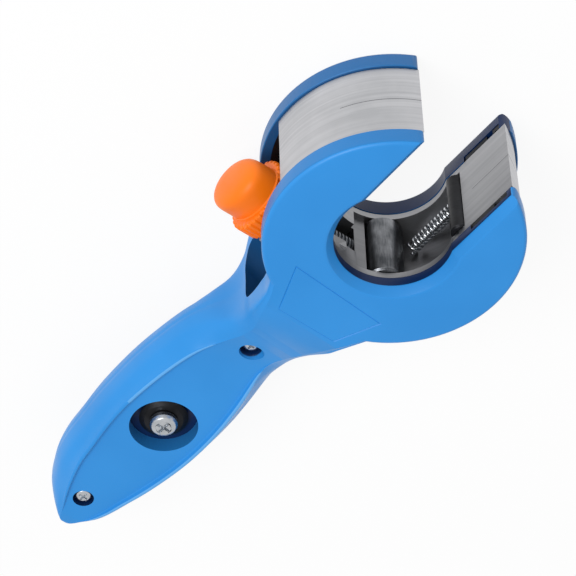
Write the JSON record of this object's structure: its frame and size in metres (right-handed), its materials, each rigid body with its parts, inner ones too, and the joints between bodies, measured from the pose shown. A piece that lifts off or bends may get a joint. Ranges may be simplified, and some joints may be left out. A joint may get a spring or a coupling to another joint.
{
  "type": "tube cutter",
  "caption": "Ratcheting C-head tube cutter with a turning head between two jaw plates, a thumb knob that feeds the cutter wheel and a spare wheel in the handle.",
  "frame": {"origin": "centre of the round tube opening, on the rear jaw plate's outer face", "axes": "+X out of the mouth, +Y across the mouth towards the knob, +Z along the tube towards the front shell"},
  "size_m": [0.1915, 0.079, 0.0412],
  "materials": {
    "shell": "satin moulded",
    "knob": "satin moulded",
    "casting": "fine blasted casting",
    "steel": "machined",
    "bright_steel": "bright zinc plate",
    "wheel_steel": "black oxide"
  },
  "bodies": {
    "handle": {"front_shell": "shell", "rear_shell": "shell", "shell_screws": "bright_steel", "spare_wheel": "wheel_steel", "spare_screw": "bright_steel", "front_ratchet_ring": "steel", "rear_ratchet_ring": "steel"},
    "cutting_head": {"head_front_half": "casting", "head_rear_half": "casting", "head_screws": "steel", "roller_pins": "steel", "pawl_pins": "steel", "pawl_spring": "bright_steel", "holding_spring": "bright_steel"},
    "feed": {"feed_screw": "steel", "thumb_knob": "knob", "knob_pin": "steel"},
    "slider": {"sliding_jaw": "steel", "wheel_axle": "steel"},
    "wheel": {"cutter_wheel": "wheel_steel"},
    "large_roller": {"roller_a": "bright_steel"},
    "small_roller": {"roller_b": "steel"},
    "first_pawl": {"drive_pawl": "steel"},
    "second_pawl": {"holding_pawl": "steel"}
  },
  "joints": [
    {"name": "head_turn", "type": "hinge", "parent": "handle", "child": "cutting_head", "pos_m": [0, 0, 0.0206], "axis": [0, 0, 1], "continuous": true},
    {"name": "knob_turn", "type": "hinge", "parent": "cutting_head", "child": "feed", "pos_m": [-0.0218, 0, 0.0206], "axis": [0, 1, 0], "range_deg": [0, 3600]},
    {"name": "wheel_feed", "type": "slide", "parent": "cutting_head", "child": "slider", "axis": [0, -1, 0], "range_m": [0, 0.0125]},
    {"name": "wheel_spin", "type": "hinge", "parent": "slider", "child": "wheel", "pos_m": [0, 0.0216, 0.0206], "axis": [0, 0, 1], "continuous": true},
    {"name": "large_roller_spin", "type": "hinge", "parent": "cutting_head", "child": "large_roller", "pos_m": [-0.01845, -0.01198, 0.0206], "axis": [0, 0, 1], "continuous": true},
    {"name": "small_roller_spin", "type": "hinge", "parent": "cutting_head", "child": "small_roller", "pos_m": [0.0096, -0.01732, 0.0206], "axis": [0, 0, 1], "continuous": true},
    {"name": "first_pawl_swing", "type": "hinge", "parent": "cutting_head", "child": "first_pawl", "pos_m": [0.011, -0.02553, 0.0206], "axis": [0, 0, 1], "range_deg": [0, 14], "stiffness_Nm_per_rad": 0.05, "springref_deg": -17.19, "deforming": ["pawl_spring"]},
    {"name": "second_pawl_swing", "type": "hinge", "parent": "cutting_head", "child": "second_pawl", "pos_m": [0.01661, 0.02229, 0.0206], "axis": [0, 0, 1], "range_deg": [0, 14], "stiffness_Nm_per_rad": 0.05, "springref_deg": -17.19, "deforming": ["holding_spring"]}
  ],
  "couplings": [
    {"joint": "knob_turn", "follows": "wheel_feed", "rad_per_m": 5026.5}
  ]
}
